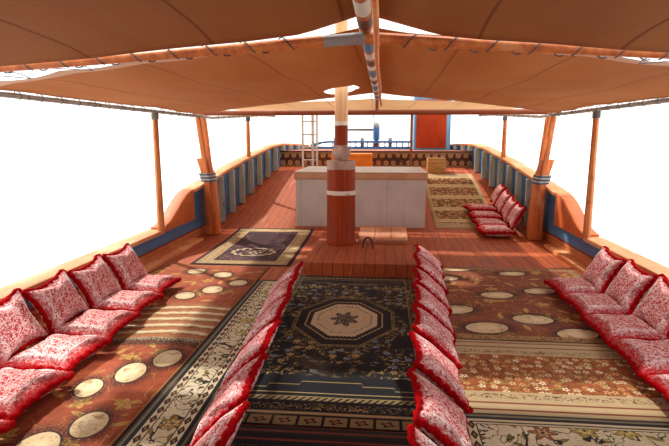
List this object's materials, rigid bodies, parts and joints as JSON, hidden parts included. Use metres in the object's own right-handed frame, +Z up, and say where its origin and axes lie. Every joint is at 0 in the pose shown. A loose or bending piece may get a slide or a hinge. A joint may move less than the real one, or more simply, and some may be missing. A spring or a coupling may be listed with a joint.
{
  "type": "wooden dhow with harbour awnings",
  "caption": "Wooden Gulf dhow with a raking stem, open deck with carpets and cushions, mast, canvas awnings, rudder and propeller.",
  "frame": {"origin": "on the waterline, amidships, on the centreline", "axes": "+X to the bow, +Y to port, +Z up"},
  "size_m": [24.1, 6.6023, 8.6],
  "materials": {
    "timber": "worn",
    "orange_paint": "painted, worn",
    "rail_wood": "varnished, worn",
    "blue_paint": "painted, worn",
    "terracotta_paint": "painted, worn",
    "white_paint": "painted, worn",
    "antifouling": "painted, matt",
    "bare_mast": "weathered",
    "canvas": "woven canvas",
    "pipe": "worn",
    "cushion": "plush and printed",
    "carpet": "woven pile",
    "bronze": "cast",
    "iron": "painted",
    "wire": "galvanised wire",
    "door_paint": "painted"
  },
  "bodies": {
    "boat": {"after_beam": "orange_paint", "awning_aft": "canvas", "awning_fore": "canvas", "awning_middle": "canvas", "backstay": "wire", "cabin": "blue_paint", "carpet_aft_port": "carpet", "carpet_aft_starboard": "carpet", "carpet_aisle": "carpet", "carpet_port": "carpet", "carpet_starboard": "carpet", "cross_spar": "orange_paint", "cushions_aft_port": "cushion", "cushions_aisle_port": "cushion", "cushions_aisle_starboard": "cushion", "cushions_port": "cushion", "cushions_starboard": "cushion", "deck": "terracotta_paint", "eave_rail_port": "pipe", "eave_rail_starboard": "pipe", "engine": "iron", "engine_casing": "white_paint", "fore_beam": "orange_paint", "foredeck": "timber", "forestay": "wire", "frame_post_port": "orange_paint", "frame_post_starboard": "orange_paint", "hull": "timber", "keel_and_sternpost": "antifouling", "ladder": "white_paint", "mast": "bare_mast", "mast_platform": "terracotta_paint", "mast_post": "orange_paint", "orange_chest": "orange_paint", "quarter_bulwark_port": "blue_paint", "quarter_bulwark_starboard": "blue_paint", "quarter_rail_port": "rail_wood", "quarter_rail_starboard": "rail_wood", "ridge_spar": "orange_paint", "rubbing_strake_port": "rail_wood", "rubbing_strake_starboard": "rail_wood", "scroll_port": "orange_paint", "scroll_starboard": "orange_paint", "stem": "timber", "stern_frame": "white_paint", "stern_platform": "blue_paint", "taffrail": "blue_paint", "transom": "blue_paint", "waist_bulwark_port": "blue_paint", "waist_bulwark_starboard": "blue_paint", "waist_rail_port": "rail_wood", "waist_rail_starboard": "rail_wood", "wooden_box": "rail_wood"},
    "rudder_body": {"rudder": "blue_paint"},
    "propeller_body": {"propeller": "bronze"},
    "door_body": {"cabin_door": "door_paint"},
    "hatch_body": {"hatch_lid": "terracotta_paint"},
    "engine_lid_body": {"engine_lid": "white_paint"}
  },
  "joints": [
    {"name": "rudder_turn", "type": "hinge", "parent": "boat", "child": "rudder_body", "pos_m": [-11.03, 0, 0], "axis": [0, 0, 1], "range_deg": [-35, 35]},
    {"name": "propeller_spin", "type": "hinge", "parent": "boat", "child": "propeller_body", "pos_m": [-10.25, 0, -0.8], "axis": [1, 0, 0], "continuous": true},
    {"name": "cabin_door_swing", "type": "hinge", "parent": "boat", "child": "door_body", "pos_m": [-9.568, 1.98, 3], "axis": [0, 0, 1], "range_deg": [0, 100]},
    {"name": "hatch_open", "type": "hinge", "parent": "boat", "child": "hatch_body", "pos_m": [-2.94, 0.24, 1.1], "axis": [0, -1, 0], "range_deg": [0, 80]},
    {"name": "engine_lid_open", "type": "hinge", "parent": "boat", "child": "engine_lid_body", "pos_m": [-5.975, -0.195, 2.01], "axis": [0, -1, 0], "range_deg": [0, 30]}
  ]
}
